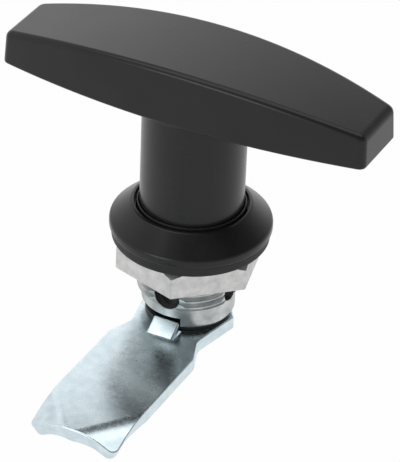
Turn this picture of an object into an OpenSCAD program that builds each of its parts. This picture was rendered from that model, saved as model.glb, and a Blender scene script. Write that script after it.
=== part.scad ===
// Keyless T-handle quarter-turn latch for a panel or a garage door.
// The origin is the centre of the panel hole, on the panel's outer face.
// +Z points out of the door, along the stem; the grip bar lies along X and the cam points along -Y.

/* [Grip bar] */
// Length of the bar along its base
bar_len = 82.8; // [70:0.2:110]
// Width of the bar at its middle, along its base
bar_mid_w = 24.4; // [24:0.2:32]
// Width of the bar at its ends, along its base
bar_end_w = 15.2; // [12:0.2:22]
// Height of the bar at its middle
bar_mid_h = 12.1; // [9.5:0.1:16]
// Height of the bar at its ends
bar_end_h = 7.2; // [5:0.1:9]
// Slope of the bar's walls in degrees
bar_draft = 3; // [0.5:0.5:6]
// Rounding of the bar's top edges
bar_edge_r = 1.3; // [0.8:0.1:2]
// Rounding of the bar's lower edges
bar_base_r = 0.6; // [0.3:0.1:0.8]
// Height of the bar's underside above the panel
grip_height = 32.8; // [26:0.2:45]

/* [Stem] */
// Diameter of the round stem above the collar
stem_d = 22; // [20:0.2:23]
// Rounding where the stem meets the bar
stem_fillet = 1; // [0.4:0.1:1.2]
// Diameter of the journal that turns in the barrel
journal_d = 16; // [14:0.2:17]
// Side of the square that drives the cam
drive_w = 8; // [7:0.1:9]
// Depth of the tapped hole in the stem's end
tap_depth = 15; // [13:0.5:18]

/* [Seals] */
// Outside diameter of the panel gasket
gasket_d = 33.4; // [30:0.2:34]
// Thickness of the panel gasket
gasket_t = 2.4; // [1.5:0.1:3.5]
// Thickness of the ring in the journal's groove
ring_t = 2; // [1.6:0.1:2.2]
// Distance of the ring's groove below the barrel's head
ring_drop = 3.2; // [2.5:0.1:4]

/* [Flange collar] */
// Diameter of the collar's rim
collar_d = 34.4; // [34:0.2:40]
// Height of the collar above the gasket
collar_h = 5.9; // [5:0.1:8]
// Height of the upright band at the rim
collar_band = 1.75; // [1:0.05:2.2]
// Width of the flat lip round the collar's mouth
collar_lip = 0.9; // [0.5:0.1:1.4]
// Gap between the stem and the collar's mouth
mouth_gap = 0.7; // [0.4:0.05:1]

/* [Barrel] */
// Outside diameter of the barrel's thread
thread_d = 22; // [20:0.1:24]
// Distance across the barrel's flats
barrel_af = 20.1; // [18.8:0.1:20.6]
// Length of the threaded part behind the panel
thread_len = 12.8; // [12.6:0.1:14]
// Length of the barrel behind the panel
barrel_len = 17.6; // [16.8:0.1:20]
// Rounding of the barrel's lower edge
tail_r = 0.8; // [0.4:0.1:1.6]
// Diameter of the head that carries the collar
head_d = 29; // [26:0.2:30]
// Thickness of the head
head_t = 2.2; // [1.8:0.1:2.6]
// Diameter of the round windows in the flats
window_d = 5.8; // [4:0.1:7]
// Depth of the windows' centres behind the panel
window_depth = 10.5; // [9.5:0.1:11]

/* [Nut] */
// Distance across the nut's flats
nut_af = 28; // [26:0.5:30]
// Height of the nut
nut_h = 6.4; // [5:0.1:6.6]
// Turn of the nut on its thread in degrees
nut_turn = -16.5; // [-30:0.5:30]

/* [Cam] */
// Thickness of the cam plate
cam_t = 3; // [2.5:0.1:4]
// Length of the cam from the axis to its tip
cam_len = 50.3; // [42:0.1:65]
// Width of the cam's blade
blade_w = 20.3; // [18:0.1:24]
// Width of the neck between hub and blade
neck_w = 16.2; // [14.6:0.1:18]
// Greatest width of the hub
hub_w = 20.8; // [19.2:0.1:24]
// Distance from the axis to the hub's back edge
hub_back = 9.4; // [9.2:0.1:12]
// Width of the flat that stays between the turned-down corners at the tip
lead_flat = 0.6; // [0.4:0.1:6]
// Angle of the turned-down corners in degrees
lead_angle = 30; // [10:1:45]
// Inside radius of the bend at those corners
lead_r = 6.5; // [4:0.5:18]

/* [Quarter-turn stop] */
// Width of the stop tab
tab_w = 6; // [4:0.1:7]
// Thickness of the stop tab
tab_t = 2; // [1.5:0.1:2.4]
// Slope of the stop tab in degrees
tab_angle = 33; // [25:1:40]
// Height of the recess in the barrel's lower edge
stop_recess = 2.4; // [2.2:0.1:2.8]
// Gap between the tab and each end of the recess
stop_gap = 0.15; // [0.05:0.05:0.3]

/* [Cam screw] */
// Diameter of the screw
screw_d = 5; // [4:0.5:6]
// Length of the screw under its head
screw_len = 14; // [12:0.5:16]
// Distance across the flats of the screw's head
screw_af = 8; // [7:0.5:10]
// Height of the screw's head
screw_head_h = 3.5; // [2.5:0.1:4]
// Outside diameter of the flat washer
washer_d = 15; // [13:0.2:18]
// Thickness of the flat washer
washer_t = 1; // [0.8:0.1:2]
// Thickness of the spring washer
spring_t = 1.2; // [0.8:0.1:2]
// Outside diameter of the spring washer
spring_d = 9.2; // [8.5:0.1:12]

/* [Hidden] */

$fn = 96;
// Steps of a rounded corner, of a bend and of the bar's length
arc_steps = 6;
bend_steps = 8;
bar_steps = 10;
// Fineness of the round ends inside a hull
hull_fn = 32;
// Reach of a cut past the surface that it opens
over = 1;

// Clearances
running_fit = 0.06;
seat_fit = 0.05;
thread_fit = 0.06;
drive_fit = 0.05;
slip_gap = 0.05;
bolt_gap = 0.2;
tail_step = 0.05;

// Small roundings and bevels
lip_r = 0.3;
rim_r = 0.4;
gasket_r = 0.4;
nut_bevel = 37;
head_bevel = 30;
blade_corner_r = 1.8;
blade_flare_r = 3;
hub_corner_r = 0.8;
thread_bevel = 0.6;

// Heights along the axis
head_top = gasket_t + head_t;
collar_top = gasket_t + collar_h;
thrust_t = 0.8;
shoulder_z = head_top + thrust_t + slip_gap;
bar_top = grip_height + bar_mid_h;
friction_t = 1;
cam_top = -barrel_len - slip_gap - friction_t;
cam_bottom = cam_top - cam_t;
spring_top = cam_bottom - washer_t;
screw_seat = spring_top - spring_t;
drive_short = 0.4;
stem_end = cam_bottom + drive_short;

// Radii about the axis
stem_r = stem_d / 2;
journal_r = journal_d / 2;
bore_r = journal_r + running_fit;
mouth_r = stem_r + mouth_gap;
thread_r = thread_d / 2;
barrel_tail_r = barrel_af / 2 - tail_step;
head_r = head_d / 2;
gasket_in_r = thread_r + seat_fit;
friction_w = 1.1;
friction_r = journal_r + friction_w;
// The thrust washer's rim stands in the gap at the collar's mouth, clear of stem and collar
guard_share = [0.25, 0.65];
guard_in_r = stem_r + guard_share[0] * mouth_gap;
guard_r = stem_r + guard_share[1] * mouth_gap;
guard_drop = 0.8;

// The groove holds its ring with a little room above and below
groove_z = head_top - ring_drop;
groove_room = 0.3;
ring_mid_r = bore_r - slip_gap - ring_t / 2;
groove_r = ring_mid_r - ring_t / 2;

// The stop tab rises from its root on the cam to a square end beside the friction washer
tab_clear = 0.35;
tab_head_room = 1;
tab_end_y = -friction_r - tab_clear;
tab_rise = stop_recess + friction_t + slip_gap - tab_head_room;
tab_run = tab_rise / tan(tab_angle);
tab_root_y = tab_end_y - tab_run;
lance_gap = 0.3;

// Places along the cam, from the hub to the blade
hub_side_y = 1.35;
hub_back_w = 10;
neck_y = -9.5;
neck_len = 1.5;
flare_len = 5.3;

function half_w(x, mid_w, end_w, len) = end_w / 2 + (mid_w - end_w) / 2 * (1 - pow(2 * x / len, 2));
function bar_h(x) = bar_end_h + (bar_mid_h - bar_end_h) * (1 - pow(2 * x / bar_len, 2));
function unit(v) = v / norm(v);

// Points of a corner at b, between a and c, rounded to the radius b[2]
function corner(a, b, c) =
    let (p = [b[0], b[1]],
         u = unit([a[0], a[1]] - p),
         v = unit([c[0], c[1]] - p),
         half = acos(u * v) / 2,
         mid = p + unit(u + v) * b[2] / sin(half),
         from = p + u * b[2] / tan(half) - mid,
         turn = (u[0] * v[1] - u[1] * v[0] > 0 ? -1 : 1) * (180 - 2 * half))
    [for (i = [0:arc_steps])
        let (s = turn * i / arc_steps)
        mid + [from[0] * cos(s) - from[1] * sin(s), from[0] * sin(s) + from[1] * cos(s)]];

// An outline of [x, y, radius] corners; a radius of 0 stays sharp
function rounded(pts) =
    let (n = len(pts))
    [for (i = [0:n - 1])
        each pts[i][2] > 0
            ? corner(pts[(i + n - 1) % n], pts[i], pts[(i + 1) % n])
            : [[pts[i][0], pts[i][1]]]];

module ring(r_out, r_in, z, h) {
    translate([0, 0, z])
        difference() {
            cylinder(r = r_out, h = h);
            translate([0, 0, -over]) cylinder(r = r_in, h = h + 2 * over);
        }
}

// A hexagon whose upper face is turned to a bevel
module hex_block(af, h, bevel) {
    corner_r = af / 2 / cos(30);
    blank_r = corner_r + over;
    rise = (blank_r - af / 2) * tan(bevel);
    intersection() {
        cylinder(r = corner_r, h = h, $fn = 6);
        rotate_extrude()
            polygon([[0, 0], [blank_r, 0], [blank_r, h - rise], [af / 2, h], [0, h]]);
    }
}

// The bar is convex, so round beads along its top and base edges span it
module grip_bar() {
    wall = tan(bar_draft);
    hull()
        for (i = [-bar_steps:bar_steps]) {
            base_x = (bar_len / 2 - bar_base_r) * i / bar_steps;
            top_x = (bar_len / 2 - bar_end_h * wall - bar_edge_r) * i / bar_steps;
            h = bar_h(top_x);
            base_y = half_w(base_x, bar_mid_w, bar_end_w, bar_len) - bar_base_r;
            top_y = half_w(top_x, bar_mid_w, bar_end_w, bar_len) - h * wall - bar_edge_r;
            for (side = [-1, 1]) {
                translate([base_x, side * base_y, grip_height + bar_base_r])
                    sphere(r = bar_base_r, $fn = hull_fn);
                translate([top_x, side * top_y, grip_height + h - bar_edge_r])
                    sphere(r = bar_edge_r, $fn = hull_fn);
            }
        }
}

module t_handle() {
    color("dimgray")
        difference() {
            union() {
                grip_bar();
                translate([0, 0, shoulder_z]) cylinder(r = stem_r, h = grip_height + over - shoulder_z);
                rotate_extrude()
                    translate([stem_r, grip_height - stem_fillet])
                        difference() {
                            translate([-over, 0]) square([stem_fillet + over, stem_fillet + bar_base_r]);
                            translate([stem_fillet, 0]) circle(r = stem_fillet);
                        }
                translate([0, 0, cam_top]) cylinder(r = journal_r, h = shoulder_z - cam_top + over);
                translate([-drive_w / 2, -drive_w / 2, stem_end])
                    cube([drive_w, drive_w, cam_top - stem_end + over]);
            }
            ring(journal_r + over, groove_r, groove_z - ring_t / 2 - groove_room, ring_t + 2 * groove_room);
            translate([0, 0, stem_end - over]) cylinder(d = screw_d + 2 * seat_fit, h = tap_depth + over);
        }
}

module flange_collar() {
    color("dimgray")
        rotate_extrude()
            polygon(rounded([[head_r + seat_fit, gasket_t, 0],
                             [collar_d / 2, gasket_t, rim_r],
                             [collar_d / 2, gasket_t + collar_band, rim_r],
                             [mouth_r + collar_lip, collar_top, lip_r],
                             [mouth_r, collar_top, lip_r],
                             [mouth_r, head_top, 0],
                             [head_r + seat_fit, head_top, 0]]));
}

module barrel() {
    bottom = -barrel_len;
    recess_edge = tab_w / 2 + stop_gap;
    color("lightgray")
        difference() {
            union() {
                translate([0, 0, gasket_t]) cylinder(r = head_r, h = head_t);
                intersection() {
                    rotate_extrude()
                        polygon([[0, -thread_len],
                                 [thread_r - thread_bevel, -thread_len],
                                 [thread_r, -thread_len + thread_bevel],
                                 [thread_r, gasket_t + over],
                                 [0, gasket_t + over]]);
                    translate([-barrel_af / 2, -barrel_af / 2, -thread_len])
                        cube([barrel_af, barrel_af, thread_len + gasket_t + over]);
                }
                rotate_extrude()
                    polygon(rounded([[0, bottom, 0],
                                     [barrel_tail_r, bottom, tail_r],
                                     [barrel_tail_r, -thread_len + over, 0],
                                     [0, -thread_len + over, 0]]));
            }
            translate([0, 0, bottom - over]) cylinder(r = bore_r, h = barrel_len + head_top + 2 * over);
            for (turn = [0:90:270])
                rotate([0, 0, turn])
                    translate([journal_r / 2, 0, -window_depth])
                        rotate([0, 90, 0])
                            cylinder(d = window_d, h = thread_r);
            translate([-thread_d, -thread_d, bottom - over])
                cube([thread_d + recess_edge, thread_d + recess_edge, stop_recess + over]);
        }
}

module thrust_washer() {
    top = head_top + thrust_t;
    guard_top = collar_top - guard_drop;
    color("black")
        rotate_extrude()
            polygon([[bore_r, head_top],
                     [mouth_r - seat_fit, head_top],
                     [mouth_r - seat_fit, top],
                     [guard_r, top],
                     [guard_r, guard_top],
                     [guard_in_r, guard_top],
                     [guard_in_r, top],
                     [bore_r, top]]);
}

module o_ring() {
    color("black")
        rotate_extrude()
            translate([ring_mid_r, groove_z]) circle(d = ring_t);
}

module panel_gasket() {
    color("black")
        rotate_extrude()
            polygon(rounded([[gasket_in_r, 0, 0],
                             [gasket_d / 2, 0, gasket_r],
                             [gasket_d / 2, gasket_t, gasket_r],
                             [gasket_in_r, gasket_t, 0]]));
}

module hex_nut() {
    color("silver")
        difference() {
            translate([0, 0, -nut_h]) rotate([0, 0, nut_turn]) hex_block(nut_af, nut_h, nut_bevel);
            translate([0, 0, -nut_h - over]) cylinder(r = thread_r + thread_fit, h = nut_h + 2 * over);
        }
}

module friction_washer() {
    color("black") ring(friction_r, journal_r + seat_fit, cam_top, friction_t);
}

// Plan of the cam: a clipped hub, a neck and a straight blade
module cam_plan() {
    blade_y = neck_y - neck_len - flare_len;
    right = [[hub_back_w / 2, hub_back, hub_corner_r],
             [hub_w / 2, hub_side_y, hub_corner_r],
             [neck_w / 2, neck_y, blade_flare_r],
             [neck_w / 2, neck_y - neck_len, blade_flare_r],
             [blade_w / 2, blade_y, blade_flare_r],
             [blade_w / 2, -cam_len, blade_corner_r]];
    left = [for (i = [len(right) - 1:-1:0]) [-right[i][0], right[i][1], right[i][2]]];
    polygon(rounded(concat(right, left)));
}

// The right corner's bend line starts on the blade's side and runs down it 4 for every 3 across the tip
bend_run = [3, 4];
lead_run = (blade_w - lead_flat) / 2;
lead_side = lead_run * bend_run[1] / bend_run[0];
bend_from = [blade_w / 2, lead_side - cam_len];
bend_turn = atan2(-bend_run[1], -bend_run[0]);
bend_out = unit([bend_run[1], -bend_run[0]]);
bend_outer = lead_r + cam_t;
// The bent tip: how far it lies past the bend line, how far it leans, and its upper and lower places
tip_past = lead_run * bend_out[0];
tip_lean = asin(min(tip_past / bend_outer, sin(lead_angle)));
tip_drop = bend_outer * (1 - cos(tip_lean)) + (tip_past - bend_outer * sin(tip_lean)) * tan(tip_lean);
tip_top = [blade_w / 2, -cam_len, cam_top - tip_drop];
tip_foot = tip_top - cam_t * [bend_out[0] * sin(tip_lean), bend_out[1] * sin(tip_lean), cos(tip_lean)];

module at_bend() {
    translate([bend_from[0], bend_from[1], cam_top]) rotate([0, 0, bend_turn]) children();
}

// The plate's corner, which the bent one takes the place of
module past_bend() {
    at_bend() translate([-cam_len, 0, -cam_len]) cube(2 * cam_len);
}

// Side view of the bent corner: an arc, then a straight end
module bent_profile() {
    reach = blade_w;
    down = [cos(lead_angle), -sin(lead_angle)];
    top = [for (i = [0:bend_steps])
        let (a = lead_angle * i / bend_steps)
        [bend_outer * sin(a), bend_outer * cos(a) - bend_outer]];
    under = [for (i = [bend_steps:-1:0])
        let (a = lead_angle * i / bend_steps)
        [lead_r * sin(a), lead_r * cos(a) - bend_outer]];
    end = [top[bend_steps] + reach * down, under[0] + reach * down];
    polygon(concat(top, end, under));
}

// All that lies in front of the plane through three places, which turn to the left as seen from there
module beyond(a, b, c) {
    out = unit(cross(b - a, c - a));
    translate(a)
        rotate([0, acos(out[2]), atan2(out[1], out[0])])
            translate([-cam_len, -cam_len, 0])
                cube(2 * cam_len);
}

// The bent corner's edges stay square to the sheet, so they lean in below it
module lead_corner() {
    difference() {
        intersection() {
            translate([0, 0, cam_bottom - blade_w])
                linear_extrude(cam_t + blade_w + over)
                    cam_plan();
            at_bend()
                translate([-cam_len, 0, 0])
                    rotate([90, 0, 90])
                        linear_extrude(2 * cam_len)
                            bent_profile();
        }
        beyond([lead_flat / 2, -cam_len, cam_bottom], tip_foot, tip_top);
        beyond([bend_from[0], bend_from[1], cam_bottom], tip_top, tip_foot);
    }
}

module stop_tab() {
    intersection() {
        translate([-tab_w / 2, tab_root_y, cam_top])
            rotate([tab_angle, 0, 0])
                translate([0, -tab_t, -tab_t])
                    cube([tab_w, tab_run / cos(tab_angle) + 2 * tab_t, tab_t]);
        translate([-tab_w, tab_end_y - cam_len, cam_bottom])
            cube([2 * tab_w, cam_len, cam_len]);
    }
}

module cam() {
    color("lightsteelblue")
        union() {
            difference() {
                translate([0, 0, cam_bottom])
                    linear_extrude(cam_t)
                        difference() {
                            cam_plan();
                            square(drive_w + 2 * drive_fit, center = true);
                            translate([-tab_w / 2 - lance_gap, tab_root_y + lance_gap])
                                square([tab_w + 2 * lance_gap, tab_run]);
                        }
                past_bend();
                mirror([1, 0, 0]) past_bend();
            }
            lead_corner();
            mirror([1, 0, 0]) lead_corner();
            stop_tab();
        }
}

module flat_washer() {
    color("silver") ring(washer_d / 2, screw_d / 2 + bolt_gap, spring_top, washer_t);
}

module spring_washer() {
    split = spring_t;
    color("silver")
        difference() {
            ring(spring_d / 2, screw_d / 2 + bolt_gap, screw_seat, spring_t);
            translate([0, -split / 2, screw_seat - over]) cube([spring_d, split, spring_t + 2 * over]);
        }
}

module cam_screw() {
    color("silver")
        union() {
            translate([0, 0, screw_seat]) mirror([0, 0, 1]) hex_block(screw_af, screw_head_h, head_bevel);
            translate([0, 0, screw_seat - over]) cylinder(d = screw_d, h = screw_len + over);
        }
}

t_handle();
flange_collar();
barrel();
thrust_washer();
o_ring();
panel_gasket();
hex_nut();
friction_washer();
cam();
flat_washer();
spring_washer();
cam_screw();
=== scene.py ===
"""Looks of a keyless T-handle quarter-turn latch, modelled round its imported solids.

A piece is shaped in millimetres on the bench and scaled to metres when it is done.
"""

import logging
import math
from collections.abc import Callable, Iterator, Sequence
from contextlib import contextmanager
from dataclasses import dataclass, field
from enum import Enum
from typing import Any, ClassVar

import bmesh
import bpy
from mathutils import Matrix, Vector


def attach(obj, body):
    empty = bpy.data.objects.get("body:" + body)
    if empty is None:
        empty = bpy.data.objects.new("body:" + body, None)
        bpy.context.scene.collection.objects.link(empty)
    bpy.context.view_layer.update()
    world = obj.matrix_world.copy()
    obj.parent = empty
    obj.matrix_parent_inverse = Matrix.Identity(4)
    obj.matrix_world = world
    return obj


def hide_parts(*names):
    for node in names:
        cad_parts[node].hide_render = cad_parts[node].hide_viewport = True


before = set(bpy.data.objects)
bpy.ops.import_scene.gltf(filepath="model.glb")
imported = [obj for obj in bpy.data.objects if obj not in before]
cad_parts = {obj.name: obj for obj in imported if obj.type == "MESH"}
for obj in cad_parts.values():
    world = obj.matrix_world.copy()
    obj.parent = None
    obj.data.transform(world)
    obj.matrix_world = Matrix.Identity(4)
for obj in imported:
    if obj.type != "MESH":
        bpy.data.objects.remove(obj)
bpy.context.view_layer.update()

# One millimetre in metres. The lengths below it are in millimetres.
MM = 0.001
# Places this close count as the same one, or are merged.
NEAR = 0.004
MERGE = 0.0005
THREAD_MERGE = 0.001
SLIVER = 0.002
# How far a tool stands past what it cuts.
LAP = 1
# Steps round the axis of turned pieces.
SPIN_STEPS = 144
HALF_SPIN = SPIN_STEPS // 2
SCREW_STEPS = 96
# Half the angle of a hexagon's side, in degrees.
HEX_HALF = 30
# The range that a cloudy pattern mostly keeps to.
CLOUD_SPAN = (0.3, 0.7)

log = logging.getLogger("latch")

Point = tuple[float, float, float]
Ring = tuple[float, float]
Span = tuple[float, float]
Colour = tuple[float, float, float, float]
Inputs = dict[str | int, Any]
Piece = bpy.types.Object
Edge = bmesh.types.BMEdge
Socket = bpy.types.NodeSocket


class Element(Enum):
    """Kinds of mesh element that can be picked."""

    VERT = "VERT"
    EDGE = "EDGE"


class Join(Enum):
    """Ways to combine two solids."""

    ADD = "UNION"
    CUT = "DIFFERENCE"
    COMMON = "INTERSECT"


class Smooth(Enum):
    """Greatest angle in degrees between faces that are shaded as one."""

    SHARP = 30
    CRISP = 35
    PLAIN = 40
    SOFT = 50


def near(a: float, b: float) -> bool:
    """Whether two lengths in millimetres are the same."""
    return abs(a - b) < NEAR


def radius_of(co: Vector) -> float:
    """Distance of a place from the latch's axis."""
    return math.hypot(co.x, co.y)


def at_height(edge: Edge, z: float) -> bool:
    """Whether both ends of an edge lie at one height."""
    return all(near(v.co.z, z) for v in edge.verts)


def corner_radius(across: float) -> float:
    """Radius to a hexagon's corners, from its width across flats."""
    return across / 2 / math.cos(math.radians(HEX_HALF))


class Bench:
    """Blender's modelling operators, used as by hand."""

    @staticmethod
    def clear() -> None:
        """Goes back to object mode with nothing selected."""
        if bpy.context.mode != "OBJECT":
            bpy.ops.object.mode_set(mode="OBJECT")
        bpy.ops.object.select_all(action="DESELECT")

    @staticmethod
    def activate(obj: Piece) -> None:
        """Selects one object alone and makes it the active one."""
        Bench.clear()
        obj.select_set(True)
        bpy.context.view_layer.objects.active = obj

    @staticmethod
    @contextmanager
    def editing(obj: Piece) -> Iterator[None]:
        """Holds an object in edit mode.

        Args:
            obj: The object to edit.
        """
        Bench.activate(obj)
        bpy.ops.object.mode_set(mode="EDIT")
        yield
        bpy.ops.object.mode_set(mode="OBJECT")

    @staticmethod
    def pick(obj: Piece, kind: Element, test: Callable[..., bool]) -> None:
        """Selects, in edit mode, just those elements that pass a test.

        Args:
            obj: The object in edit mode.
            kind: The kind of element to select.
            test: Says of each element whether it is selected.
        """
        bpy.ops.mesh.select_mode(type=kind.value)
        bpy.ops.mesh.select_all(action="DESELECT")
        mesh = bmesh.from_edit_mesh(obj.data)
        mesh.normal_update()
        pool = mesh.verts if kind is Element.VERT else mesh.edges
        found = [item for item in pool if test(item)]
        if not found:
            raise ValueError(f"nothing to pick on {obj.name}")
        for item in found:
            item.select_set(True)
        bmesh.update_edit_mesh(obj.data)

    @staticmethod
    def pick_all() -> None:
        """Selects the whole mesh, in edit mode."""
        bpy.ops.mesh.select_all(action="SELECT")

    @staticmethod
    def bevel(
        obj: Piece, test: Callable[[Edge], bool], width: float, segments: int, clamp: bool = False
    ) -> None:
        """Bevels, in edit mode, the edges that pass a test.

        Args:
            obj: The object in edit mode.
            test: Says of each edge whether it is bevelled.
            width: Width of the bevel.
            segments: Number of its steps.
            clamp: Whether the bevel stops where it meets another one.
        """
        Bench.pick(obj, Element.EDGE, test)
        bpy.ops.mesh.bevel(offset=width, segments=segments, affect="EDGES", clamp_overlap=clamp)

    @staticmethod
    def tidy_shell() -> None:
        """Merges doubled places and turns all faces outwards, in edit mode."""
        Bench.pick_all()
        bpy.ops.mesh.remove_doubles(threshold=MERGE)
        bpy.ops.mesh.normals_make_consistent(inside=False)

    @staticmethod
    def settle() -> None:
        """Puts the selected objects' place, turn and scale in their meshes."""
        bpy.ops.object.transform_apply(location=True, rotation=True, scale=True)

    @staticmethod
    def modify(obj: Piece, kind: str, **settings: Any) -> None:
        """Gives a piece a modifier and applies it.

        Args:
            obj: The piece.
            kind: Kind of the modifier.
            settings: The modifier's settings.
        """
        Bench.activate(obj)
        bpy.ops.object.modifier_add(type=kind)
        modifier = obj.modifiers[-1]
        for name, value in settings.items():
            setattr(modifier, name, value)
        bpy.ops.object.modifier_apply(modifier=modifier.name)

    @staticmethod
    def block(name: str, low: Point, high: Point) -> Piece:
        """Adds a block between two corners.

        Args:
            name: Name of the block.
            low: Its lowest corner.
            high: Its highest corner.

        Returns:
            The block.
        """
        Bench.clear()
        middle = (Vector(low) + Vector(high)) / 2
        bpy.ops.mesh.primitive_cube_add(size=1, location=middle, scale=Vector(high) - Vector(low))
        Bench.settle()
        obj = bpy.context.active_object
        obj.name = name
        return obj

    @staticmethod
    def prism(name: str, sides: int, radius: float, heights: Span, turn: float = 0) -> Piece:
        """Adds an upright prism, or a round bar where it has many sides.

        Args:
            name: Name of the prism.
            sides: Number of its sides.
            radius: Radius to its corners.
            heights: Heights of its lower and upper ends.
            turn: Turn about the axis in degrees.

        Returns:
            The prism.
        """
        low, high = heights
        Bench.clear()
        bpy.ops.mesh.primitive_cylinder_add(
            vertices=sides,
            radius=radius,
            depth=high - low,
            location=(0, 0, (low + high) / 2),
            rotation=(0, 0, math.radians(turn)),
        )
        Bench.settle()
        obj = bpy.context.active_object
        obj.name = name
        return obj

    @staticmethod
    def wire(name: str, points: Sequence[Point], closed: bool) -> Piece:
        """Draws a chain of edges by extruding one corner from place to place.

        Args:
            name: Name of the wire.
            points: The places it runs through.
            closed: Whether its end joins its start.

        Returns:
            The wire.
        """
        Bench.clear()
        bpy.ops.mesh.primitive_plane_add(size=1)
        obj = bpy.context.active_object
        obj.name = name
        with Bench.editing(obj):
            bpy.ops.mesh.select_mode(type="VERT")
            Bench.pick_all()
            bpy.ops.mesh.merge(type="CENTER")
            bpy.ops.transform.translate(value=points[0])
            for here, there in zip(points, points[1:]):
                step = Vector(there) - Vector(here)
                bpy.ops.mesh.extrude_vertices_move(TRANSFORM_OT_translate={"value": step})
            if closed:
                Bench.pick(obj, Element.VERT, lambda v: len(v.link_edges) == 1)
                bpy.ops.mesh.edge_face_add()
        return obj

    @staticmethod
    def lathe(name: str, rings: Sequence[Ring], steps: int = SPIN_STEPS) -> Piece:
        """Spins a side view round the latch's axis.

        Args:
            name: Name of the turned piece.
            rings: Radius and height of each corner of the side view, which runs from axis to axis
                or else is a closed loop.
            steps: Number of steps round the axis.

        Returns:
            The turned piece.
        """
        obj = Bench.wire(name, [(r, 0, z) for r, z in rings], closed=rings[0][0] > 0)
        with Bench.editing(obj):
            Bench.pick_all()
            bpy.ops.mesh.spin(steps=steps, angle=2 * math.pi, center=(0, 0, 0), axis=(0, 0, 1))
            Bench.tidy_shell()
        return obj

    @staticmethod
    def round_ring(obj: Piece, ring: Ring, width: float, segments: int = 4) -> None:
        """Bevels the round edge at one radius and height.

        Args:
            obj: A turned piece.
            ring: Radius and height of the edge.
            width: Width of the bevel.
            segments: Number of its steps.
        """
        r, z = ring
        with Bench.editing(obj):
            Bench.bevel(
                obj,
                lambda e: at_height(e, z) and all(near(radius_of(v.co), r) for v in e.verts),
                width,
                segments,
                clamp=True,
            )

    @staticmethod
    def combine(target: Piece, tool: Piece, join: Join) -> None:
        """Adds, cuts or intersects one solid with another, which is used up.

        Args:
            target: The solid that stays.
            tool: The solid that is used up.
            join: How the two are combined.
        """
        Bench.modify(target, "BOOLEAN", operation=join.value, solver="EXACT", object=tool)
        bpy.data.objects.remove(tool)
        with Bench.editing(target):
            Bench.pick_all()
            bpy.ops.mesh.remove_doubles(threshold=SLIVER)
            bpy.ops.mesh.dissolve_degenerate(threshold=SLIVER)

    @staticmethod
    def repeat(obj: Piece, count: int) -> Piece:
        """Copies a piece evenly round the axis and joins the copies to it.

        Args:
            obj: The piece.
            count: How many there are in the end.

        Returns:
            The joined piece.
        """
        copies = []
        for i in range(1, count):
            Bench.activate(obj)
            bpy.ops.object.duplicate()
            copy = bpy.context.active_object
            copy.rotation_euler = (0, 0, 2 * math.pi * i / count)
            Bench.settle()
            copies.append(copy)
        Bench.activate(obj)
        for copy in copies:
            copy.select_set(True)
        bpy.ops.object.join()
        return obj

    @staticmethod
    def soften(obj: Piece, width: float, segments: int, angle: float = 40) -> None:
        """Bevels every edge that is sharper than an angle.

        Args:
            obj: The piece.
            width: Width of the bevel.
            segments: Number of its steps.
            angle: The least angle in degrees between the faces at such an edge.
        """
        limit = math.radians(angle)
        Bench.modify(
            obj, "BEVEL", width=width, segments=segments, limit_method="ANGLE", angle_limit=limit
        )

    @staticmethod
    def threaded_rod(major: float, depth: float, pitch: float, heights: Span) -> Piece:
        """Winds a closed rod with a helical thread along the axis.

        Args:
            major: Radius over the thread's crests.
            depth: Depth of the thread.
            pitch: Rise of one turn.
            heights: Heights that the whole thread reaches down and up to.

        Returns:
            The rod, which runs on past both heights.
        """
        low, high = heights
        root = major - depth
        spare = 2
        start = low - spare * pitch
        flat = pitch / 8
        slope = (pitch - 2 * flat) / 2
        tooth = [
            (root, 0, start),
            (root, 0, start + flat),
            (major, 0, start + flat + slope),
            (major, 0, start + 2 * flat + slope),
            (root, 0, start + pitch),
        ]
        obj = Bench.wire("thread", tooth, closed=False)
        Bench.modify(
            obj,
            "SCREW",
            axis="Z",
            angle=2 * math.pi,
            screw_offset=pitch,
            iterations=math.ceil((high - low) / pitch) + spare + 1,
            steps=HALF_SPIN,
            render_steps=HALF_SPIN,
        )
        middle = (low + high) / 2
        with Bench.editing(obj):
            Bench.pick_all()
            bpy.ops.mesh.remove_doubles(threshold=THREAD_MERGE)
            for upper in (False, True):
                Bench.pick(
                    obj,
                    Element.EDGE,
                    lambda e: e.is_boundary and (e.verts[0].co.z > middle) == upper,
                )
                bpy.ops.mesh.extrude_region_move()
                bpy.ops.mesh.merge(type="CENTER")
            Bench.tidy_shell()
        return obj

    @staticmethod
    def done(obj: Piece, smooth: Smooth, even: bool = True) -> None:
        """Scales a finished piece to metres and smooths its shading.

        Args:
            obj: The piece.
            smooth: How far its shading is smoothed.
            even: Whether large faces keep their own normal beside small bevels.
        """
        Bench.activate(obj)
        obj.scale = (MM, MM, MM)
        Bench.settle()
        bpy.ops.object.shade_smooth_by_angle(angle=math.radians(smooth.value))
        if even:
            Bench.modify(obj, "WEIGHTED_NORMAL", keep_sharp=True)


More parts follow.
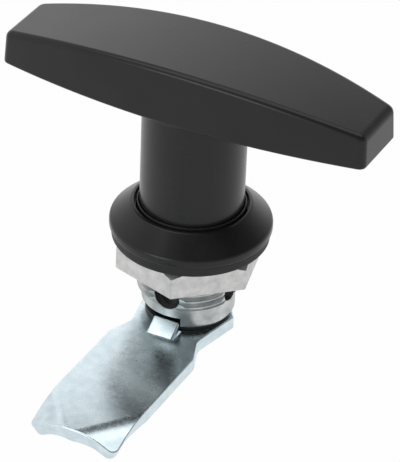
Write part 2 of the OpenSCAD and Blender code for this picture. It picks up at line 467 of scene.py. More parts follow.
class Nodes:
    """The node tree of a material or world while it is put together."""

    def __init__(self, owner: bpy.types.Material | bpy.types.World) -> None:
        """Clears the tree.

        Args:
            owner: The material or world that the tree belongs to.
        """
        owner.use_nodes = True
        self.tree = owner.node_tree
        self.tree.nodes.clear()

    def add(self, kind: str, inputs: Inputs | None = None, **settings: Any) -> bpy.types.Node:
        """Adds a node.

        Args:
            kind: Kind of the node, without its prefix.
            inputs: Constants for its sockets, or the outputs that feed them.
            settings: The node's own settings.

        Returns:
            The node.
        """
        node = self.tree.nodes.new("ShaderNode" + kind)
        for name, value in settings.items():
            setattr(node, name, value)
        self.feed(node, inputs or {})
        return node

    def feed(self, node: bpy.types.Node, inputs: Inputs) -> None:
        """Sets constants on a node's own sockets and links outputs to them.

        Args:
            node: The node.
            inputs: A constant or an output for each socket.
        """
        for key, value in inputs.items():
            if isinstance(value, Socket):
                self.tree.links.new(value, node.inputs[key])
            else:
                node.inputs[key].default_value = value

    def ramp(self, value: Socket, places: Span, colours: tuple[Colour, Colour]) -> Socket:
        """Turns a value into a colour between two.

        Args:
            value: The value.
            places: The values at which each colour is whole.
            colours: The two colours.

        Returns:
            The colour.
        """
        node = self.add("ValToRGB", {"Fac": value})
        for stop, place, colour in zip(node.color_ramp.elements, places, colours):
            stop.position = place
            stop.color = colour
        return node.outputs["Color"]

    def mix(self, share: Socket, first: Socket, second: Socket) -> Socket:
        """Mixes two shaders by the share of the second."""
        return self.add("MixShader", {0: share, 1: first, 2: second}).outputs[0]

    def seen(self) -> Socket:
        """A value of 1 for rays that show the background: straight, mirrored or passed through.

        Returns:
            The value.
        """
        rays = self.add("LightPath").outputs
        total = rays["Is Camera Ray"]
        for name in ("Is Glossy Ray", "Is Transmission Ray"):
            node = self.add("Math", {0: total, 1: rays[name]}, operation="ADD", use_clamp=True)
            total = node.outputs[0]
        return total


class Shader(Nodes):
    """A material with one principled shader while it is put together."""

    def __init__(self, name: str) -> None:
        """Starts the material.

        Args:
            name: Name of the material.
        """
        self.material = bpy.data.materials.new(name)
        super().__init__(self.material)
        self.surface = self.add("BsdfPrincipled")
        self.add("OutputMaterial", {"Surface": self.surface.outputs["BSDF"]})
        self.place = self.add("TexCoord").outputs["Object"]

    def noise(self, size: float, detail: float, contrast: float = 0.5) -> Socket:
        """Adds a cloudy pattern.

        Args:
            size: Size of its clouds in millimetres.
            detail: Number of finer layers.
            contrast: Roughness of the finer layers.

        Returns:
            A value about 0.5.
        """
        shape = {"Scale": 1 / (size * MM), "Detail": detail, "Roughness": contrast}
        return self.add("TexNoise", {"Vector": self.place, **shape}).outputs["Fac"]

    def vary(self, pattern: Socket, span: Span) -> Socket:
        """Maps a cloudy pattern to a range of values.

        Args:
            pattern: The pattern.
            span: The range.

        Returns:
            The mapped value.
        """
        names = ("From Min", "From Max", "To Min", "To Max")
        node = self.add("MapRange", {"Value": pattern, **dict(zip(names, CLOUD_SPAN + span))})
        return node.outputs["Result"]

    def bump(
        self, height: Socket, depth: float, strength: float, under: Socket | None = None
    ) -> Socket:
        """Raises a surface by a pattern.

        Args:
            height: The pattern.
            depth: Depth of the pattern in millimetres.
            strength: Strength from 0 to 1.
            under: A bump that this one lies on.

        Returns:
            The bent normal.
        """
        node = self.add("Bump", {"Height": height, "Distance": depth * MM, "Strength": strength})
        if under is not None:
            self.feed(node, {"Normal": under})
        return node.outputs["Normal"]


def grey(level: float, tint: Point = (1, 1, 1)) -> Colour:
    """A grey of one level, with a slight tint."""
    return (level * tint[0], level * tint[1], level * tint[2], 1)


@dataclass(frozen=True)
class Finish:
    """A finish whose tone drifts in clouds between a dark and a light one."""

    slot: str
    dark: Colour
    light: Colour
    roughness: Span
    cloud: float
    cloud_detail: ClassVar[float] = 4
    cloud_contrast: ClassVar[float] = 0.5

    def skin(self, shader: Shader, clouds: Socket) -> Inputs:
        """What sets one kind of finish apart.

        Args:
            shader: The material while it is put together.
            clouds: The pattern of its tone.

        Returns:
            Inputs of the surface, with the finish's roughness and normal.
        """
        raise NotImplementedError

    def material(self) -> bpy.types.Material:
        """Puts the material together.

        Returns:
            The material.
        """
        shader = Shader(self.slot)
        clouds = shader.noise(self.cloud, self.cloud_detail, self.cloud_contrast)
        tone = shader.ramp(clouds, CLOUD_SPAN, (self.dark, self.light))
        shader.feed(shader.surface, {"Base Color": tone, **self.skin(shader, clouds)})
        return shader.material


@dataclass(frozen=True)
class PowderCoat(Finish):
    """Satin powder coat with a faint orange peel."""

    specular: float = 0.31
    peel: float = 1.1
    peel_depth: float = 0.012
    peel_strength: float = 0.35
    grain: float = 0.16
    grain_depth: float = 0.004
    grain_strength: float = 0.25

    def skin(self, shader: Shader, clouds: Socket) -> Inputs:
        """A fine grain on an orange peel.

        Args:
            shader: The material while it is put together.
            clouds: The pattern of its tone.

        Returns:
            Inputs of the surface.
        """
        peel = shader.bump(shader.noise(self.peel, detail=1), self.peel_depth, self.peel_strength)
        grain = shader.noise(self.grain, detail=2)
        return {
            "Roughness": shader.vary(clouds, self.roughness),
            "Normal": shader.bump(grain, self.grain_depth, self.grain_strength, peel),
            "Specular IOR Level": self.specular,
        }


@dataclass(frozen=True)
class Metal(Finish):
    """Bare or plated metal with a fine grain and dull spots."""

    grain: float = 0.3
    grain_depth: float = 0.006
    grain_strength: float = 0.4
    spot_ratio: float = 5
    cloud_detail: ClassVar[float] = 5
    cloud_contrast: ClassVar[float] = 0.6

    def skin(self, shader: Shader, clouds: Socket) -> Inputs:
        """A metal's grain, with spots a few times as wide.

        Args:
            shader: The material while it is put together.
            clouds: The pattern of its tone.

        Returns:
            Inputs of the surface.
        """
        spots = shader.noise(self.grain * self.spot_ratio, detail=3)
        grain = shader.noise(self.grain, detail=2)
        return {
            "Roughness": shader.vary(spots, self.roughness),
            "Normal": shader.bump(grain, self.grain_depth, self.grain_strength),
            "Metallic": 1,
        }


@dataclass(frozen=True)
class Moulding(Finish):
    """Moulded rubber or nylon with a dull skin."""

    cloud: float = 3
    specular: float = 0.4
    grain: float = 0.35
    grain_depth: float = 0.02
    grain_strength: float = 0.3

    def skin(self, shader: Shader, clouds: Socket) -> Inputs:
        """The dull skin that the mould leaves.

        Args:
            shader: The material while it is put together.
            clouds: The pattern of its tone.

        Returns:
            Inputs of the surface.
        """
        grain = shader.noise(self.grain, detail=3)
        return {
            "Roughness": shader.vary(grain, self.roughness),
            "Normal": shader.bump(grain, self.grain_depth, self.grain_strength),
            "Specular IOR Level": self.specular,
        }


@dataclass
class Finishes:
    """All finishes of the latch, each made once."""

    coat: Finish = PowderCoat("black_coat", grey(0.011), grey(0.015, (1, 1, 1.1)), (0.24, 0.29), 9)
    casting: Finish = Metal(
        "cast_zinc",
        grey(0.33, (0.94, 0.99, 1)),
        grey(0.67, (0.95, 1, 1)),
        (0.28, 0.44),
        4,
        grain=0.5,
        grain_depth=0.02,
    )
    nut: Finish = Metal(
        "nut_zinc", grey(0.5), grey(0.68, (1, 1, 0.99)), (0.4, 0.52), 2, grain_depth=0.015
    )
    plating: Finish = Metal(
        "plated_steel",
        grey(0.7, (0.78, 0.93, 1)),
        grey(0.84, (0.83, 0.95, 1)),
        (0.22, 0.29),
        2,
        grain=0.2,
        grain_strength=0.22,
    )
    rubber: Finish = Moulding("gasket_rubber", grey(0.009), grey(0.016), (0.5, 0.62))
    nylon: Finish = Moulding("black_nylon", grey(0.012), grey(0.02), (0.42, 0.52), specular=0.45)
    made: dict[str, bpy.types.Material] = field(default_factory=dict)

    def dress(self, obj: Piece, finish: Finish) -> None:
        """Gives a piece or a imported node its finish.

        Args:
            obj: The piece or node.
            finish: The finish that it gets.
        """
        if finish.slot not in self.made:
            self.made[finish.slot] = finish.material()
        obj.data.materials.clear()
        obj.data.materials.append(self.made[finish.slot])


@dataclass
class SubAssembly:
    """Pieces that are built and dressed together and ride on one body."""

    finishes: Finishes
    body: ClassVar[str]

    def place(self, obj: Piece, finish: Finish, node: str) -> None:
        """Dresses a finished piece and puts it in its node's place.

        Args:
            obj: The piece.
            finish: The finish that it gets.
            node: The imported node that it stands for.
        """
        self.finishes.dress(obj, finish)
        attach(obj, self.body)
        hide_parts(node)
        faces = len(obj.data.polygons)
        log.info("%s stands for %s on %s, %d faces", obj.name, node, self.body, faces)


@dataclass
class GripHandle(SubAssembly):
    """The die-cast handle: a boat-shaped bar on a round stem, with a journal and a square below."""

    body: ClassVar[str] = "handle"
    bar_len: float = 82.8
    bar_mid_w: float = 24.4
    bar_end_w: float = 15.2
    bar_mid_h: float = 12.1
    bar_end_h: float = 7.2
    bar_draft: float = 3
    bar_steep: float = 40
    edge_r: float = 1.3
    base_r: float = 0.6
    grip_height: float = 32.8
    stem_r: float = 11
    fillet: float = 1
    fillet_steps: int = 6
    journal_r: float = 8
    journal_bevel: float = 0.4
    shoulder_z: float = 5.45
    shoulder_bevel: float = 0.5
    groove_r: float = 6.01
    groove_z: float = 1.4
    groove_half: float = 1.3
    journal_end: float = -18.65
    drive_w: float = 8
    drive_end: float = -21.25
    drive_bevel: float = 0.3
    tap_r: float = 2.55
    tap_depth: float = 15
    tap_sides: int = 48
    stations: int = 40

    def crown(self, x: float, end: float, middle: float) -> float:
        """A size of the bar that swells along a parabola from its ends to its middle."""
        return end + (middle - end) * (1 - (2 * x / self.bar_len) ** 2)

    def is_outer(self, edge: Edge) -> bool:
        """Whether two faces of the bar meet steeply at an edge."""
        steep = math.radians(self.bar_steep)
        return len(edge.link_faces) == 2 and edge.calc_face_angle() > steep

    def bar(self) -> Piece:
        """Shapes the crowned bar from a block.

        Returns:
            The bar.
        """
        half = self.bar_len / 2
        base = self.grip_height
        top = base + self.bar_mid_h
        wall = math.tan(math.radians(self.bar_draft))
        obj = Bench.block("grip_handle", (-half, -1, base), (half, 1, top))
        with Bench.editing(obj):
            Bench.pick(obj, Element.EDGE, lambda e: not near(e.verts[0].co.x, e.verts[1].co.x))
            bpy.ops.mesh.subdivide(number_cuts=self.stations - 1)
            for i in range(self.stations + 1):
                x = self.bar_len * (i / self.stations - 0.5)
                rise = self.crown(x, self.bar_end_h, self.bar_mid_h)
                wide = self.crown(x, self.bar_end_w / 2, self.bar_mid_w / 2)
                for z, reach in ((base, wide), (top, wide - rise * wall)):
                    Bench.pick(obj, Element.VERT, lambda v: near(v.co.x, x) and near(v.co.z, z))
                    bpy.ops.transform.resize(value=(1, reach, 1), center_override=(x, 0, z))
                lean = -math.copysign(rise * wall, x) if near(abs(x), half) else 0
                bpy.ops.transform.translate(value=(lean, 0, base + rise - top))
            Bench.bevel(
                obj,
                lambda e: self.is_outer(e) and max(v.co.z for v in e.verts) > base + LAP,
                self.edge_r,
                segments=6,
            )
            Bench.bevel(
                obj,
                lambda e: self.is_outer(e) and at_height(e, base),
                self.base_r,
                segments=4,
            )
            Bench.tidy_shell()
        return obj

    def stem(self) -> Piece:
        """Turns the stem and its journal, with the fillet under the bar and the ring's groove.

        Returns:
            The stem.
        """
        base = self.grip_height
        r = self.stem_r + self.fillet
        angles = [math.pi / 2 * i / self.fillet_steps for i in range(self.fillet_steps + 1)]
        rings = [
            (0, self.journal_end),
            (self.journal_r, self.journal_end),
            (self.journal_r, self.groove_z - self.groove_half),
            (self.groove_r, self.groove_z - self.groove_half),
            (self.groove_r, self.groove_z + self.groove_half),
            (self.journal_r, self.groove_z + self.groove_half),
            (self.journal_r, self.shoulder_z),
            (self.stem_r, self.shoulder_z),
            *(
                (r - self.fillet * math.cos(a), base - self.fillet + self.fillet * math.sin(a))
                for a in angles
            ),
            (r, base + self.base_r),
            (0, base + self.base_r),
        ]
        obj = Bench.lathe("stem", rings)
        Bench.round_ring(obj, (self.journal_r, self.journal_end), self.journal_bevel, segments=2)
        Bench.round_ring(obj, (self.stem_r, self.shoulder_z), self.shoulder_bevel, segments=3)
        return obj

    def build(self) -> None:
        """Joins bar, stem and square into one casting."""
        obj = self.bar()
        Bench.combine(obj, self.stem(), Join.ADD)
        half = self.drive_w / 2
        low, high = self.drive_end, self.journal_end + LAP
        square = Bench.block("square", (-half, -half, low), (half, half, high))
        Bench.soften(square, self.drive_bevel, segments=2)
        Bench.combine(obj, square, Join.ADD)
        heights = (self.drive_end - LAP, self.drive_end + self.tap_depth)
        Bench.combine(obj, Bench.prism("tap", self.tap_sides, self.tap_r, heights), Join.CUT)
        Bench.done(obj, Smooth.PLAIN)
        self.place(obj, self.finishes.coat, "t_handle")


@dataclass
class Housing(SubAssembly):
    """What stays on the door: the collar, the threaded barrel, the gasket and the thrust washer."""

    body: ClassVar[str] = "housing"
    gasket_r: float = 16.7
    gasket_in_r: float = 11.05
    gasket_t: float = 2.4
    gasket_foot: float = 0.5
    gasket_rim: float = 0.4
    collar_r: float = 17.2
    collar_top: float = 8.3
    collar_band: float = 1.75
    collar_lip: float = 0.9
    foot_round: float = 0.35
    band_round: float = 0.45
    lip_round: float = 0.4
    mouth_round: float = 0.25
    mouth_r: float = 11.7
    mouth_open_r: float = 12
    mouth_sink: float = 1.4
    head_r: float = 14.5
    head_top: float = 4.6
    seat_fit: float = 0.05
    thread_r: float = 11
    thread_depth: float = 0.82
    thread_pitch: float = 1.5
    thread_len: float = 12.8
    thread_bevel: float = 0.6
    flat: float = 10.05
    tail_r: float = 10
    tail_round: float = 0.8
    barrel_len: float = 17.6
    bore_r: float = 8.06
    window_r: float = 2.9
    window_z: float = -10.5
    window_flare: float = 0.15
    window_reach: float = 3
    window_steps: int = 46
    window_count: int = 4
    recess_edge: float = 3.15
    recess_h: float = 2.4
    thrust_t: float = 0.8
    guard_in_r: float = 11.175
    guard_r: float = 11.5
    guard_top: float = 8.6
    guard_round: float = 0.1

    def collar(self) -> None:
        """Turns the conical collar with its sunk mouth."""
        seat = self.head_r + self.seat_fit
        foot = self.gasket_t
        band = foot + self.collar_band
        lip = self.mouth_r + self.collar_lip
        sunk = self.collar_top - self.mouth_sink
        obj = Bench.lathe(
            "collar",
            [
                (seat, foot),
                (self.collar_r, foot),
                (self.collar_r, band),
                (lip, self.collar_top),
                (self.mouth_open_r, self.collar_top),
                (self.mouth_open_r, sunk),
                (self.mouth_r, sunk),
                (self.mouth_r, self.head_top),
                (seat, self.head_top),
            ],
        )
        Bench.round_ring(obj, (self.collar_r, foot), self.foot_round, segments=3)
        Bench.round_ring(obj, (self.collar_r, band), self.band_round)
        Bench.round_ring(obj, (lip, self.collar_top), self.lip_round)
        Bench.round_ring(obj, (self.mouth_open_r, self.collar_top), self.mouth_round)
        Bench.done(obj, Smooth.SOFT)
        self.place(obj, self.finishes.coat, "flange_collar")

    def gasket(self) -> None:
        """Turns the rubber gasket."""
        top = self.gasket_t
        inner, outer = self.gasket_in_r, self.gasket_r
        obj = Bench.lathe("gasket", [(inner, 0), (outer, 0), (outer, top), (inner, top)])
        Bench.round_ring(obj, (outer, 0), self.gasket_foot)
        Bench.round_ring(obj, (outer, top), self.gasket_rim)
        Bench.done(obj, Smooth.SOFT)
        self.place(obj, self.finishes.rubber, "panel_gasket")

    def threaded_body(self) -> Piece:
        """Shapes the barrel's threaded length, which four flats cut.

        Returns:
            The threaded body.
        """
        bottom, top = -self.thread_len, self.gasket_t + LAP
        obj = Bench.lathe(
            "barrel_body",
            [
                (0, bottom),
                (self.thread_r - self.thread_bevel, bottom),
                (self.thread_r + LAP, bottom + self.thread_bevel + LAP),
                (self.thread_r + LAP, top),
                (0, top),
            ],
        )
        side, low, high = self.flat, bottom - LAP, top + LAP
        flats = Bench.block("flats", (-side, -side, low), (side, side, high))
        Bench.combine(obj, flats, Join.COMMON)
        thread = Bench.threaded_rod(
            self.thread_r, self.thread_depth, self.thread_pitch, (low, high)
        )
        Bench.combine(obj, thread, Join.COMMON)
        return obj

    def windows(self) -> Piece:
        """Shapes the cutter of the windows, each with a flared mouth.

        Returns:
            The cutter.
        """
        inner, outer = self.bore_r / 2, self.flat + self.window_reach
        wide = self.window_r + 2 * self.window_flare
        obj = Bench.lathe(
            "window",
            [
                (0, inner),
                (self.window_r, inner),
                (self.window_r, self.flat - self.window_flare),
                (wide, self.flat + self.window_flare),
                (wide, outer),
                (0, outer),
            ],
            self.window_steps,
        )
        obj.rotation_euler = (0, math.radians(90), 0)
        obj.location.z = self.window_z
        Bench.settle()
        return Bench.repeat(obj, self.window_count)

    def barrel(self) -> None:
        """Shapes the barrel: threaded body, plain tail, head, bore, windows and stop recess."""
        bottom = -self.barrel_len
        overlap = -self.thread_len + LAP / 2
        obj = self.threaded_body()
        rings = [(0, bottom), (self.tail_r, bottom), (self.tail_r, overlap), (0, overlap)]
        tail = Bench.lathe("tail", rings)
        Bench.round_ring(tail, (self.tail_r, bottom), self.tail_round, segments=6)
        Bench.combine(obj, tail, Join.ADD)
        head = Bench.prism("head", SPIN_STEPS, self.head_r, (self.gasket_t, self.head_top))
        Bench.combine(obj, head, Join.ADD)
        heights = (bottom - LAP, self.head_top + LAP)
        Bench.combine(obj, Bench.prism("bore", SPIN_STEPS, self.bore_r, heights), Join.CUT)
        Bench.combine(obj, self.windows(), Join.CUT)
        reach, edge = 2 * self.thread_r, self.recess_edge
        recess = Bench.block(
            "recess", (-reach, -reach, bottom - LAP), (edge, edge, bottom + self.recess_h)
        )
        Bench.combine(obj, recess, Join.CUT)
        Bench.done(obj, Smooth.CRISP, even=False)
        self.place(obj, self.finishes.casting, "barrel")

    def thrust_washer(self) -> None:
        """Turns the washer under the stem's shoulder, whose rim stands up in the collar's mouth."""
        low, high = self.head_top, self.head_top + self.thrust_t
        outer = self.mouth_r - self.seat_fit
        obj = Bench.lathe(
            "stem_washer",
            [
                (self.bore_r, low),
                (outer, low),
                (outer, high),
                (self.guard_r, high),
                (self.guard_r, self.guard_top),
                (self.guard_in_r, self.guard_top),
                (self.guard_in_r, high),
                (self.bore_r, high),
            ],
        )
        for r in (self.guard_in_r, self.guard_r):
            Bench.round_ring(obj, (r, self.guard_top), self.guard_round, segments=3)
        Bench.done(obj, Smooth.SOFT)
        self.place(obj, self.finishes.nylon, "thrust_washer")

    def build(self) -> None:
        """Builds the collar, the gasket, the barrel and the thrust washer."""
        self.collar()
        self.gasket()
        self.barrel()
        self.thrust_washer()


@dataclass
class ClampNut(SubAssembly):
    """The die-cast hex nut that clamps the panel."""

    body: ClassVar[str] = "nut"
    across: float = 28
    height: float = 6.4
    turn: float = -16.5
    bore_r: float = 11.06
    bore_bevel: float = 0.5
    bevel: float = 37
    edge: float = 0.25

    def build(self) -> None:
        """Shapes the nut from a hexagon and a turned blank."""
        flat = self.across / 2
        corner = corner_radius(self.across)
        rise = (corner + LAP - flat) * math.tan(math.radians(self.bevel))
        obj = Bench.prism("clamp_nut", 6, corner, (-self.height, LAP), self.turn + HEX_HALF)
        Bench.soften(obj, self.edge, segments=3)
        low, wide = -self.height - LAP, corner + LAP
        rings = [(0, low), (wide, low), (wide, -rise), (flat, 0), (0, 0)]
        Bench.combine(obj, Bench.lathe("blank", rings), Join.COMMON)
        flared = self.bore_r + self.bore_bevel + LAP
        bore = Bench.lathe(
            "bore",
            [
                (0, low),
                (flared, low),
                (self.bore_r, -self.height + self.bore_bevel),
                (self.bore_r, -self.bore_bevel),
                (flared, LAP),
                (0, LAP),
            ],
        )
        Bench.combine(obj, bore, Join.CUT)
        Bench.done(obj, Smooth.SHARP)
        self.place(obj, self.finishes.nut, "hex_nut")


@dataclass
class CamSet(SubAssembly):
    """What turns behind the door: the cam with its friction ring, washers and screw."""

    body: ClassVar[str] = "handle"
    cam_top: float = -18.65
    cam_t: float = 3
    cam_len: float = 50.3
    blade_w: float = 20.3
    neck_w: float = 16.2
    hub_w: float = 20.8
    hub_back: float = 9.4
    hub_side_y: float = 1.35
    hub_back_w: float = 10
    neck_y: float = -9.5
    neck_len: float = 1.5
    flare_len: float = 5.3
    hub_round: float = 0.8
    neck_round: float = 3
    tip_round: float = 1.8
    round_steps: int = 8
    top_roll: float = 0.35
    under_roll: float = 0.25
    lead_flat: float = 0.6
    lead_angle: float = 30
    lead_r: float = 6.5
    bend_run: Span = (3, 4)
    bend_strips: int = 10
    drive_hole: float = 8.1
    tab_w: float = 6
    tab_t: float = 2
    tab_angle: float = 33
    tab_end_y: float = -9.45
    tab_rise: float = 2.45
    tab_bend: float = 1.2
    tab_bend_steps: int = 5
    tab_root: float = 1.5
    tab_sink: float = 0.4
    tab_round: float = 0.38
    tab_sharp: float = 45
    lance_gap: float = 0.3
    friction_r: float = 9.1
    friction_in_r: float = 8.05
    friction_t: float = 1
    friction_edge: float = 0.2
    washer_r: float = 7.5
    washer_t: float = 1
    washer_edge: float = 0.25
    spring_r: float = 4.6
    spring_t: float = 1.2
    spring_edge: float = 0.15
    split_over: float = 3
    split_lean: Span = (0.7, -0.4)
    screw_r: float = 2.5
    screw_len: float = 14
    screw_across: float = 8
    screw_head: float = 3.5
    screw_edge: float = 0.15
    screw_face: float = 0.2
    screw_pitch: float = 0.8
    screw_depth: float = 0.43
    screw_point: float = 0.6
    screw_root: float = 0.5
    bolt_gap: float = 0.2

    @property
    def cam_bottom(self) -> float:
        """Height of the cam's lower face."""
        return self.cam_top - self.cam_t

    @property
    def screw_seat(self) -> float:
        """Height of the screw head's upper face."""
        return self.cam_bottom - self.washer_t - self.spring_t

    @property
    def tab_root_y(self) -> float:
        """Where the tab's upper face would leave the sheet without a bend."""
        return self.tab_end_y - self.tab_rise / math.tan(math.radians(self.tab_angle))

    def outline(self) -> list[Point]:
        """Corners of the cam's plan with their roundings.

        Returns:
            Place and rounding of each corner, once round the plan.
        """
        neck_end = self.neck_y - self.neck_len
        right = [
            (self.hub_back_w / 2, self.hub_back, self.hub_round),
            (self.hub_w / 2, self.hub_side_y, self.hub_round),
            (self.neck_w / 2, self.neck_y, self.neck_round),
            (self.neck_w / 2, neck_end, self.neck_round),
            (self.blade_w / 2, neck_end - self.flare_len, self.neck_round),
            (self.blade_w / 2, -self.cam_len, self.tip_round),
        ]
        return right + [(-x, y, r) for x, y, r in reversed(right)]

    def plate(self) -> Piece:
        """Cuts the flat cam from sheet: plan, rounded corners and rolled edges.

        Returns:
            The plate.
        """
        corners = self.outline()
        obj = Bench.wire("cam_plate", [(x, y, self.cam_top) for x, y, _ in corners], closed=True)
        with Bench.editing(obj):
            Bench.pick_all()
            bpy.ops.mesh.edge_face_add()
            for i, (x, y, r) in enumerate(corners):
                before = Vector(corners[i - 1][:2]) - Vector((x, y))
                after = Vector(corners[(i + 1) % len(corners)][:2]) - Vector((x, y))
                reach = r / math.tan(before.angle(after) / 2)
                Bench.pick(obj, Element.VERT, lambda v: near(v.co.x, x) and near(v.co.y, y))
                bpy.ops.mesh.bevel(offset=reach, segments=self.round_steps, affect="VERTICES")
            Bench.pick_all()
            down = {"value": (0, 0, -self.cam_t)}
            bpy.ops.mesh.extrude_region_move(TRANSFORM_OT_translate=down)
            Bench.tidy_shell()
            for z, width in ((self.cam_top, self.top_roll), (self.cam_bottom, self.under_roll)):
                Bench.bevel(obj, lambda e: at_height(e, z), width, segments=3)
        return obj

    def bend_corners(self, obj: Piece) -> None:
        """Turns the two corners of the cam's tip down along their bend lines.

        Args:
            obj: The flat cam.
        """
        across, along = self.bend_run
        slope = math.hypot(across, along)
        side = (self.blade_w - self.lead_flat) / 2 * along / across
        arc = (self.lead_r + self.cam_t) * math.sin(math.radians(self.lead_angle))
        with Bench.editing(obj):
            for hand in (1, -1):
                normal = Vector((hand * along / slope, -across / slope, 0))
                line = Vector((hand * self.blade_w / 2, side - self.cam_len, 0))
                for i in range(self.bend_strips + 1):
                    Bench.pick_all()
                    place = line + normal * (arc * i / self.bend_strips)
                    bpy.ops.mesh.bisect(plane_co=place, plane_no=normal, threshold=MERGE)
                mesh = bmesh.from_edit_mesh(obj.data)
                past = [v.co.copy() for v in mesh.verts if (v.co - line).dot(normal) > NEAR]
                for co in past:
                    inward, drop = self.bent((co - line).dot(normal), self.cam_top - co.z)
                    Bench.pick(obj, Element.VERT, lambda v: (v.co - co).length < NEAR)
                    bpy.ops.transform.translate(value=-inward * normal - Vector((0, 0, drop)))

    def bent(self, past: float, depth: float) -> tuple[float, float]:
        """How far a place moves when its corner is turned down and the sheet's edges stay square.

        Args:
            past: Distance past the bend line.
            depth: Depth below the sheet's upper face.

        Returns:
            The way back towards the bend line and the way down.
        """
        outer = self.lead_r + self.cam_t
        lean = math.asin(min(past / outer, math.sin(math.radians(self.lead_angle))))
        drop = outer * (1 - math.cos(lean)) + (past - outer * math.sin(lean)) * math.tan(lean)
        return depth * math.sin(lean), drop - depth * (1 - math.cos(lean))

    def tab(self) -> Piece:
        """Bends up the lanced stop tab.

        Returns:
            The tab, with its root inside the plate.
        """
        angle = math.radians(self.tab_angle)
        bend = self.tab_bend
        bend_y = self.tab_root_y - bend * math.tan(angle / 2)
        root_y = bend_y - self.tab_root
        top = [(root_y, self.cam_top - self.tab_sink)]
        for i in range(self.tab_bend_steps + 1):
            a = angle * i / self.tab_bend_steps
            top.append((bend_y + bend * math.sin(a), self.cam_top + bend - bend * math.cos(a)))
        end_z = self.cam_top + self.tab_rise
        under_end = end_z - self.tab_t / math.cos(angle)
        foot = self.cam_top - self.tab_t
        side = [
            *top,
            (self.tab_end_y, end_z),
            (self.tab_end_y, under_end),
            (self.tab_end_y - (under_end - foot) / math.tan(angle), foot),
            (root_y, foot),
        ]
        obj = Bench.wire("tab", [(-self.tab_w / 2, y, z) for y, z in side], closed=True)
        with Bench.editing(obj):
            Bench.pick_all()
            bpy.ops.mesh.edge_face_add()
            bpy.ops.mesh.extrude_region_move(TRANSFORM_OT_translate={"value": (self.tab_w, 0, 0)})
            Bench.tidy_shell()
        Bench.soften(obj, self.tab_round, segments=4, angle=self.tab_sharp)
        return obj

    def cam(self) -> None:
        """Finishes the cam: bent corners, square hole, lanced opening and stop tab."""
        obj = self.plate()
        self.bend_corners(obj)
        half, gap = self.drive_hole / 2, self.lance_gap
        wide = self.tab_w / 2 + gap
        low, high = self.cam_bottom - LAP, self.cam_top + LAP
        for name, near_end, far_end in (
            ("drive", (-half, -half), (half, half)),
            ("lance", (-wide, self.tab_root_y + gap), (wide, self.tab_end_y + gap)),
        ):
            hole = Bench.block(name, (*near_end, low), (*far_end, high))
            Bench.combine(obj, hole, Join.CUT)
        Bench.combine(obj, self.tab(), Join.ADD)
        Bench.done(obj, Smooth.CRISP)
        self.place(obj, self.finishes.plating, "cam")

    def ring(self, name: str, radii: Span, heights: Span, edge: float) -> Piece:
        """Turns a flat washer with softened edges.

        Args:
            name: Name of the washer.
            radii: Inside and outside radius.
            heights: Heights of the lower and upper face.
            edge: Width of the softened edges.

        Returns:
            The washer.
        """
        (inner, outer), (low, high) = radii, heights
        rings = [(inner, low), (outer, low), (outer, high), (inner, high)]
        obj = Bench.lathe(name, rings, HALF_SPIN)
        for r in radii:
            for z in heights:
                Bench.round_ring(obj, (r, z), edge, segments=3)
        return obj

    def split(self, low: float) -> Piece:
        """Shapes the leaning cutter that splits the spring washer.

        Args:
            low: Height of the washer's lower face.

        Returns:
            The cutter.
        """
        half = self.spring_t / 2
        far = (self.spring_r + LAP, half, low + self.split_over)
        obj = Bench.block("split", (0, -half, low - LAP), far)
        with Bench.editing(obj):
            for upper, lean in zip((True, False), self.split_lean):
                Bench.pick(obj, Element.VERT, lambda v: (v.co.z > low) == upper)
                bpy.ops.transform.translate(value=(0, lean, 0))
        return obj

    def washers(self) -> None:
        """Builds the friction ring and the two washers under the cam."""
        heights = (self.cam_top, self.cam_top + self.friction_t)
        radii = (self.friction_in_r, self.friction_r)
        friction = self.ring("friction_ring", radii, heights, self.friction_edge)
        hole = self.screw_r + self.bolt_gap
        low = self.cam_bottom - self.washer_t
        heights = (low, low + self.washer_t)
        wide = self.ring("wide_washer", (hole, self.washer_r), heights, self.washer_edge)
        low = self.screw_seat
        heights = (low, low + self.spring_t)
        spring = self.ring("split_washer", (hole, self.spring_r), heights, self.spring_edge)
        Bench.combine(spring, self.split(low), Join.CUT)
        for obj, finish, node in (
            (friction, self.finishes.nylon, "friction_washer"),
            (wide, self.finishes.plating, "flat_washer"),
            (spring, self.finishes.plating, "spring_washer"),
        ):
            Bench.done(obj, Smooth.PLAIN)
            self.place(obj, finish, node)

    def screw(self) -> None:
        """Shapes the hex screw: a bevelled head on a threaded shank."""
        flat = self.screw_across / 2
        corner = corner_radius(self.screw_across)
        seat = self.screw_seat
        low = seat - self.screw_head
        obj = Bench.prism("hex_screw", 6, corner, (low - LAP, seat + LAP), HEX_HALF)
        with Bench.editing(obj):
            Bench.bevel(
                obj,
                lambda e: not near(e.verts[0].co.z, e.verts[1].co.z),
                self.screw_edge,
                segments=3,
            )
        face, wide = flat - self.screw_face, corner + LAP
        rings = [(0, low), (face, low), (wide, low + LAP), (wide, seat), (0, seat)]
        Bench.combine(obj, Bench.lathe("blank", rings, SCREW_STEPS), Join.COMMON)
        end, root = seat + self.screw_len, seat - self.screw_root
        over = self.screw_r + self.bolt_gap
        rings = [(0, root), (over, root), (over, end - LAP), (self.screw_r - self.screw_point, end)]
        shank = Bench.lathe("shank", [*rings, (0, end)], SCREW_STEPS)
        thread = Bench.threaded_rod(self.screw_r, self.screw_depth, self.screw_pitch, (root, end))
        Bench.combine(shank, thread, Join.COMMON)
        Bench.combine(obj, shank, Join.ADD)
        Bench.done(obj, Smooth.CRISP, even=False)
        self.place(obj, self.finishes.plating, "cam_screw")

    def build(self) -> None:
        """Builds the cam, washers and screw, and dresses the hidden ring on the journal."""
        self.cam()
        self.washers()
        self.screw()
        self.finishes.dress(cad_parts["o_ring"], self.finishes.rubber)


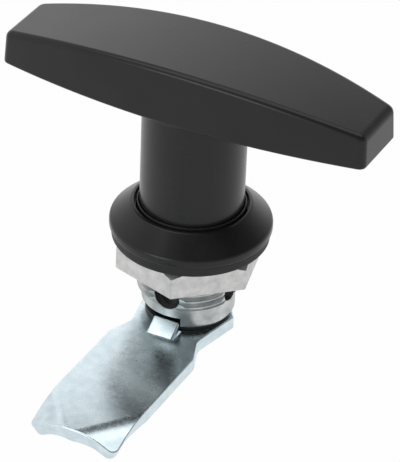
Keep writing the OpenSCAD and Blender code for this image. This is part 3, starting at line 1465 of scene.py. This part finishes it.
@dataclass
class Lamp:
    """A soft square lamp."""

    name: str
    place: Point
    size: Span
    level: float

    def build(self) -> None:
        """Hangs the lamp and points it at the latch."""
        data = bpy.data.lights.new(self.name, "AREA")
        data.shape = "RECTANGLE"
        data.size, data.size_y = self.size
        data.energy = self.level * math.pi * self.size[0] * self.size[1]
        lamp = bpy.data.objects.new(self.name, data)
        lamp.location = self.place
        lamp.rotation_euler = Vector(self.place).to_track_quat("Z", "Y").to_euler()
        bpy.context.scene.collection.objects.link(lamp)


@dataclass
class Studio:
    """Camera, soft lamps, pale floor and white surround."""

    azimuth: float = 26.519
    elevation: float = 33.57
    roll: float = 2.238
    distance: float = 643.95
    target_z: float = 0.29
    focal_px: float = 3067.37
    axis_px: Span = (190.65, 231.68)
    image_px: Span = (400, 462)
    sensor: float = 36
    clip_start: float = 0.01
    floor_z: float = -130
    floor_half: float = 2.5
    floor_tone: float = 0.85
    floor_white: float = 0.97
    ambient: float = 0.45
    dim_axis: Point = (0.45, 0, 0.9)
    dim_edges: Span = (0.16, 0.8)
    dim_level: float = 0.18
    lamps: tuple[Lamp, ...] = (
        Lamp("back_lamp", (-0.38, 0.83, 0.47), (0.8, 0.46), 0.62),
        Lamp("top_lamp", (-0.053, 0.064, 0.95), (1.4, 0.63), 1.5),
        Lamp("front_lamp", (-0.24, -0.9, 0.35), (0.45, 0.26), 3.8),
    )

    def camera(self) -> None:
        """Sets the camera at the photograph's viewing angle."""
        az, el, roll = (math.radians(v) for v in (self.azimuth, self.elevation, self.roll))
        back = Vector((math.sin(az) * math.cos(el), -math.cos(az) * math.cos(el), math.sin(el)))
        flat = Vector((math.cos(az), math.sin(az), 0))
        rise = back.cross(flat)
        right = math.cos(roll) * flat + math.sin(roll) * rise
        up = -math.sin(roll) * flat + math.cos(roll) * rise
        aside = (self.image_px[0] / 2 - self.axis_px[0]) / self.focal_px
        above = (self.axis_px[1] - self.image_px[1] / 2) / self.focal_px
        axis_z = (back - aside * right - above * up).normalized()
        axis_x = (right - right.dot(axis_z) * axis_z).normalized()
        axis_y = axis_z.cross(axis_x)
        place = (Vector((0, 0, self.target_z)) + back * self.distance) * MM
        data = bpy.data.cameras.new("camera")
        data.sensor_width = self.sensor
        data.lens = self.focal_px / max(self.image_px) * self.sensor
        data.clip_start = self.clip_start
        camera = bpy.data.objects.new("camera", data)
        turn = Matrix((axis_x, axis_y, axis_z)).transposed().to_4x4()
        camera.matrix_world = Matrix.Translation(place) @ turn
        bpy.context.scene.collection.objects.link(camera)
        bpy.context.scene.camera = camera

    def surround(self) -> None:
        """Makes the world white where it shows, dim overhead, and a soft light elsewhere."""
        world = bpy.data.worlds.new("surround")
        bpy.context.scene.world = world
        nodes = Nodes(world)
        way = nodes.add("TexCoord").outputs["Generated"]
        rise = nodes.add("VectorMath", {0: way, 1: self.dim_axis}, operation="DOT_PRODUCT")
        tones = (grey(1), grey(self.dim_level))
        tone = nodes.ramp(rise.outputs["Value"], self.dim_edges, tones)
        light = nodes.add("Background", {"Strength": self.ambient}).outputs[0]
        white = nodes.add("Background", {"Color": tone}).outputs[0]
        nodes.add("OutputWorld", {"Surface": nodes.mix(nodes.seen(), light, white)})

    def floor(self) -> None:
        """Lays a pale floor that shows white, keeps the shadow and is clear from below."""
        Bench.clear()
        place = (0, 0, self.floor_z * MM)
        bpy.ops.mesh.primitive_plane_add(size=2 * self.floor_half, location=place)
        floor = bpy.context.active_object
        floor.name = "floor"
        material = bpy.data.materials.new("pale_floor")
        nodes = Nodes(material)
        matte = nodes.add("BsdfDiffuse", {"Color": grey(self.floor_tone)}).outputs[0]
        glow = nodes.add("Emission").outputs[0]
        clear = nodes.add("BsdfTransparent").outputs[0]
        share = nodes.add("Math", {0: nodes.seen(), 1: self.floor_white}, operation="MULTIPLY")
        white = nodes.mix(share.outputs[0], matte, glow)
        below = nodes.add("NewGeometry").outputs["Backfacing"]
        nodes.add("OutputMaterial", {"Surface": nodes.mix(below, white, clear)})
        floor.data.materials.append(material)

    def build(self) -> None:
        """Sets up the camera, the surround, the floor and the lamps."""
        bpy.context.scene.view_settings.view_transform = "Standard"
        self.camera()
        self.surround()
        self.floor()
        for lamp in self.lamps:
            lamp.build()


def main() -> None:
    """Builds the latch piece by piece."""
    logging.basicConfig(level=logging.INFO, format="%(name)s: %(message)s")
    finishes = Finishes()
    Studio().build()
    for kind in (GripHandle, Housing, ClampNut, CamSet):
        kind(finishes).build()


if __name__ == "__main__":
    main()
